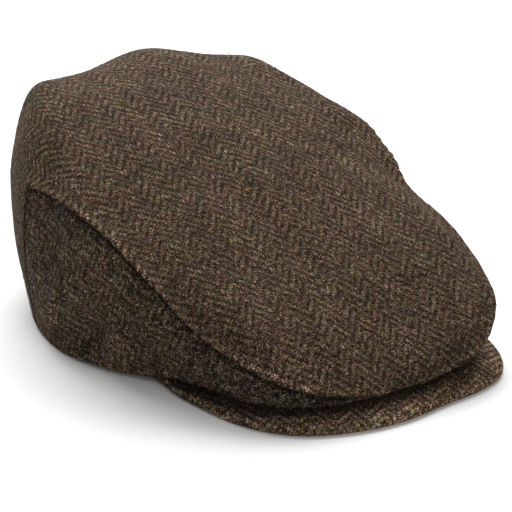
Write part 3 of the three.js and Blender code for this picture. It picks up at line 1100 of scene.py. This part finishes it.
def fibre_roots(rng, outer, normals, cells, closed, count):
    """Places spread evenly over the used cells of a grid, and the way out of the cloth at each."""
    following = np.roll(outer, -1, axis=0) if closed else outer[1:]
    following_n = np.roll(normals, -1, axis=0) if closed else normals[1:]
    size = len(following)
    ring = [outer[:size, :-1], following[:, :-1], following[:, 1:], outer[:size, 1:]]
    ring_n = [normals[:size, :-1], following_n[:, :-1], following_n[:, 1:], normals[:size, 1:]]
    area = np.linalg.norm(np.cross(ring[2] - ring[0], ring[3] - ring[1]), axis=-1) * cells
    pick = rng.choice(area.size, count, p=area.ravel() / area.sum())
    s, t = rng.random((2, count, 1))
    weight = ((1 - s) * (1 - t), s * (1 - t), s * t, (1 - s) * t)
    root = sum(w * q.reshape(-1, 3)[pick] for w, q in zip(weight, ring))
    normal = sum(w * q.reshape(-1, 3)[pick] for w, q in zip(weight, ring_n))
    return root, normal / np.linalg.norm(normal, axis=-1, keepdims=True)


def fibre_mesh(surface, count, seed, lengths, width, steps, tones):
    """Thin ribbons rooted on a surface: points, faces and tone of each point."""
    rng = np.random.default_rng(seed)
    root, normal = fibre_roots(rng, *surface, count)
    side = np.cross(normal, rng.normal(size=(count, 3)))
    side /= np.linalg.norm(side, axis=-1, keepdims=True)
    ahead = np.cross(side, normal)
    length = rng.uniform(*lengths, count) * rng.uniform(*FIBRE_LENGTH_SPREAD, count)
    bend = rng.uniform(-FIBRE_BEND, FIBRE_BEND, count) * np.minimum(1.0, FIBRE_BEND_LENGTH / length)
    rise = rng.uniform(*FIBRE_LIFT, count) * np.minimum(length / FIBRE_LIFT_LENGTH, 1.0)
    roll = rng.uniform(-FIBRE_ROLL, FIBRE_ROLL, (count, 1))
    across = np.cos(roll) * side + np.sin(roll) * normal
    thick = width * rng.uniform(*FIBRE_WIDTH_SPREAD, count)
    tone = rng.uniform(*tones, count)
    at = root - ROOT_DEPTH * normal
    points = []
    for k in range(steps + 1):
        share = k / steps
        half_width = (thick * (1 - FIBRE_TAPER * share) / 2)[:, None]
        lifted = at + normal * (rise * math.sin(FIBRE_ARCH * share))[:, None]
        points += [lifted - across * half_width, lifted + across * half_width]
        turn = bend * (share + 0.5 / steps) * length / 2
        way = np.cos(turn)[:, None] * ahead + np.sin(turn)[:, None] * side
        at = at + way * (length / steps)[:, None]
    points = np.stack(points, axis=1)
    points[..., 2] = np.maximum(points[..., 2], FLOOR_CLEARANCE)
    each = points.shape[1]
    first = np.arange(count)[:, None] * each
    quads = [first + 2 * k + np.array([0, 1, 3, 2]) for k in range(steps)]
    faces = np.stack(quads, axis=1).reshape(-1, 4)
    flat = np.stack([np.repeat(tone, each), np.tile(np.arange(each) / each, count)], axis=-1)
    return points.reshape(-1, 3), faces.tolist(), flat


def make_fuzz(name, surface, slot, layers):
    """One piece of fuzz, made of layers of fibres."""
    points, faces, flat = np.zeros((0, 3)), [], np.zeros((0, 2))
    for count, seed, kind in layers:
        more, more_faces, more_flat = fibre_mesh(surface, count, seed, **kind)
        faces += [[v + len(points) for v in face] for face in more_faces]
        points = np.concatenate([points, more])
        flat = np.concatenate([flat, more_flat])
    make_piece(name, points, faces, flat, np.zeros(len(points)), loose_fibre, None, slot)


# A few long pale hairs lie in loops on the crown; each layer is a count, a seed and a kind of fibre
FUZZ = (
    # name, surface, slot, layers
    ("crown_panel_fuzz", crown_surface, "crown_cloth", ((30000, 11, SHORT_FIBRES), (60, 21, LONG_HAIRS))),
    ("side_panel_right_fuzz", right_surface, "side_cloth", ((9000, 12, SHORT_FIBRES),)),
    ("side_panel_left_fuzz", left_surface, "side_cloth", ((9000, 13, SHORT_FIBRES),)),
    ("peak_fuzz", peak_surface, "peak_cloth", ((8000, 14, SHORT_FIBRES),)),
)
for row in FUZZ:
    make_fuzz(*row)

# Floor and light, in metres
FLOOR_HALF_SIZE = 2.0
FLOOR_COLOR = (0.8, 0.8, 0.8, 1.0)
FLOOR_ROUGHNESS = 0.9
WORLD_COLOR = (1.0, 1.0, 1.0, 1.0)
WORLD_STRENGTH = 0.3
LIGHTS = (
    # name, place, target, size, power
    ("key", (0.5, 0.95, 1.1), (0, 0, 0.05), 1.9, 69.0),
    ("fill", (-0.2, -1.3, 0.5), (0, -0.08, 0.03), 0.8, 8.0),
)

floor_mesh = bpy.data.meshes.new("floor")
half = FLOOR_HALF_SIZE
floor_corners = [(-half, -half, 0), (half, -half, 0), (half, half, 0), (-half, half, 0)]
floor_mesh.from_pydata(floor_corners, [], [(0, 1, 2, 3)])
floor = bpy.data.objects.new("floor", floor_mesh)
bpy.context.collection.objects.link(floor)
floor_material = bpy.data.materials.new("floor")
floor_material.use_nodes = True
floor_shader = floor_material.node_tree.nodes["Principled BSDF"]
floor_shader.inputs["Base Color"].default_value = FLOOR_COLOR
floor_shader.inputs["Roughness"].default_value = FLOOR_ROUGHNESS
floor_mesh.materials.append(floor_material)

world = bpy.data.worlds.new("studio")
bpy.context.scene.world = world
world.use_nodes = True
background = world.node_tree.nodes["Background"]
background.inputs["Color"].default_value = WORLD_COLOR
background.inputs["Strength"].default_value = WORLD_STRENGTH


def area_light(name, place, target, size, power):
    """Square light that faces a target."""
    data = bpy.data.lights.new(name, "AREA")
    data.size = size
    data.energy = power
    light = bpy.data.objects.new(name, data)
    bpy.context.collection.objects.link(light)
    light.location = place
    light.rotation_euler = (Vector(target) - Vector(place)).to_track_quat("-Z", "Y").to_euler()


for row in LIGHTS:
    area_light(*row)

# The photograph's view of the centre of the head opening, in pixels of a 512 pixel frame
VIEW_AZIMUTH = math.radians(-35.0)
VIEW_ELEVATION = math.radians(23.0)
CENTRE_PIXEL = (219.0, 305.8)
PIXELS_PER_MM = 1.993
CAMERA_DISTANCE = 1052.6
FRAME_PIXELS = 512
SENSOR = 36.0
FARTHEST_SEEN = 20.0

right_way = Vector((math.cos(VIEW_AZIMUTH), math.sin(VIEW_AZIMUTH), 0))
back_way = Vector((
    math.sin(VIEW_AZIMUTH) * math.cos(VIEW_ELEVATION),
    -math.cos(VIEW_AZIMUTH) * math.cos(VIEW_ELEVATION),
    math.sin(VIEW_ELEVATION),
))
up_way = back_way.cross(right_way)
focal_pixels = PIXELS_PER_MM * CAMERA_DISTANCE
camera_data = bpy.data.cameras.new("camera")
camera_data.sensor_width = SENSOR
camera_data.lens = SENSOR * focal_pixels / FRAME_PIXELS
camera_data.clip_end = FARTHEST_SEEN
camera = bpy.data.objects.new("camera", camera_data)
bpy.context.collection.objects.link(camera)
eye = Vector((0, HEAD_CENTRE_Y, 0)) + back_way * CAMERA_DISTANCE
half_frame = FRAME_PIXELS / 2
look = -back_way * focal_pixels
look += right_way * (half_frame - CENTRE_PIXEL[0]) + up_way * (CENTRE_PIXEL[1] - half_frame)
look.normalize()
side_way = look.cross(up_way).normalized()
top_way = side_way.cross(look)
turn = Matrix((side_way, top_way, -look)).transposed()
camera.matrix_world = Matrix.Translation(eye * MM) @ turn.to_4x4()
bpy.context.scene.camera = camera
bpy.context.scene.view_settings.view_transform = "Standard"
